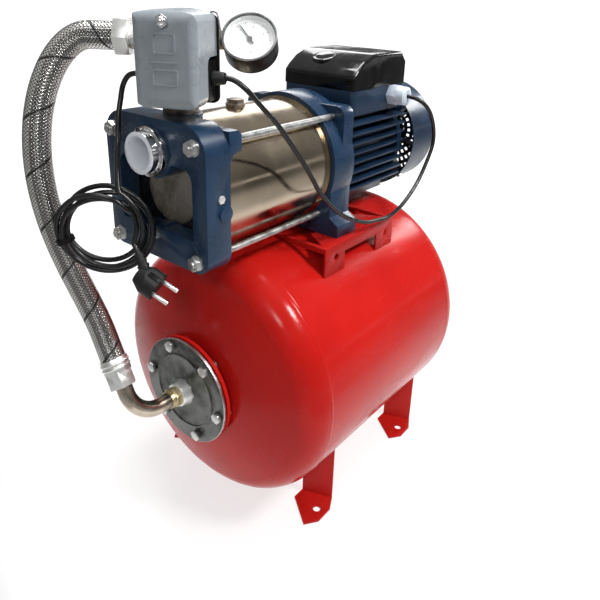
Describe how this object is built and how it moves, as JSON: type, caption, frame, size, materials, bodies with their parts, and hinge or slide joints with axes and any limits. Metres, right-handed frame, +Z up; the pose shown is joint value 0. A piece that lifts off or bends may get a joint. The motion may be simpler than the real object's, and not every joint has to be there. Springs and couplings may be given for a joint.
{
  "type": "horizontal multistage pump",
  "caption": "Horizontal multistage pump with finned motor on a pressure tank, with pressure switch, gauge, braided hose, cables and a coiled mains lead.",
  "frame": {"origin": "on the ground, in the middle of the pattern of the four foot holes, under the middle of the tank", "axes": "+Z up, +X along the tank and the pump's shaft from the suction end to the motor, +Y across the tank"},
  "size_m": [0.6156, 0.3648, 0.686],
  "materials": {
    "red_paint": "gloss",
    "blue_cast": "satin",
    "blue_paint": "satin",
    "stainless": "brushed",
    "chrome": "mirror",
    "nickel": "gloss",
    "zinc": "satin",
    "steel": "satin",
    "steel_braid": "woven",
    "brass": "satin",
    "bronze": "satin",
    "copper": "satin",
    "aluminium": "satin",
    "black_rubber": "satin",
    "black_plastic": "satin",
    "black_gloss": "gloss",
    "white_plastic": "satin",
    "grey_plastic": "satin",
    "grey_plastic_cover": "satin",
    "ceramic": "satin",
    "clear_glass": "clear"
  },
  "bodies": {
    "booster": {"tank_shell": "red_paint", "tank_membrane": "black_rubber", "counterflange": "zinc", "flange_bolts": "zinc", "tank_feet": "red_paint", "air_valve": "brass", "air_valve_cap": "black_plastic", "pump_table": "red_paint", "table_bolts": "zinc", "brass_adapter": "brass", "elbow_tube": "chrome", "lower_hose_nut": "nickel", "braided_hose": "steel_braid", "upper_hose_nut": "nickel", "five_way_fitting": "brass", "front_casting": "blue_cast", "front_cover": "stainless", "suction_nipple": "chrome", "nipple_liner": "white_plastic", "pump_shell": "stainless", "filler_plug": "bronze", "drain_plug": "zinc", "vent_screw": "zinc", "tie_rods": "zinc", "tie_rod_nuts": "zinc", "motor_bracket": "blue_cast", "diffusers": "stainless", "seal_seat": "ceramic", "motor_frame": "blue_paint", "stator": "copper", "bearings": "steel", "rear_shield": "blue_paint", "fan_cover": "blue_paint", "cover_screws": "zinc", "terminal_cover": "black_gloss", "terminal_block": "black_plastic", "capacitor": "aluminium", "cable_gland": "grey_plastic", "switch_plate": "steel", "switch_cover": "grey_plastic_cover", "switch_nuts": "nickel", "switch_block": "black_plastic", "switch_spring": "steel", "switch_nipple": "brass", "switch_grommets": "black_rubber", "gauge_case": "black_plastic", "gauge_dial": "white_plastic", "gauge_lens": "clear_glass", "motor_cable": "black_rubber", "power_cord": "black_rubber", "power_cord_coil": "black_rubber", "cord_tie": "black_plastic", "mains_plug": "black_rubber", "plug_pins": "nickel"},
    "rotor": {"rotor_shaft": "steel", "impellers": "stainless", "rotor_core": "steel", "cooling_fan": "black_plastic"},
    "needle": {"gauge_needle": "black_plastic"},
    "lever": {"switch_lever": "steel"}
  },
  "joints": [
    {"name": "shaft_turn", "type": "hinge", "parent": "booster", "child": "rotor", "pos_m": [0, 0, 0.4895], "axis": [1, 0, 0], "continuous": true},
    {"name": "needle_turn", "type": "hinge", "parent": "booster", "child": "needle", "pos_m": [-0.17855, -0.06348, 0.652], "axis": [-0.6366, -0.4458, 0.6293], "range_deg": [-260.5, 9.5]},
    {"name": "lever_tilt", "type": "hinge", "parent": "booster", "child": "lever", "pos_m": [-0.26173, -0.03998, 0.622], "axis": [-0.4462, 0.8949, 0], "range_deg": [0, 3], "deforming": ["switch_spring"]}
  ]
}
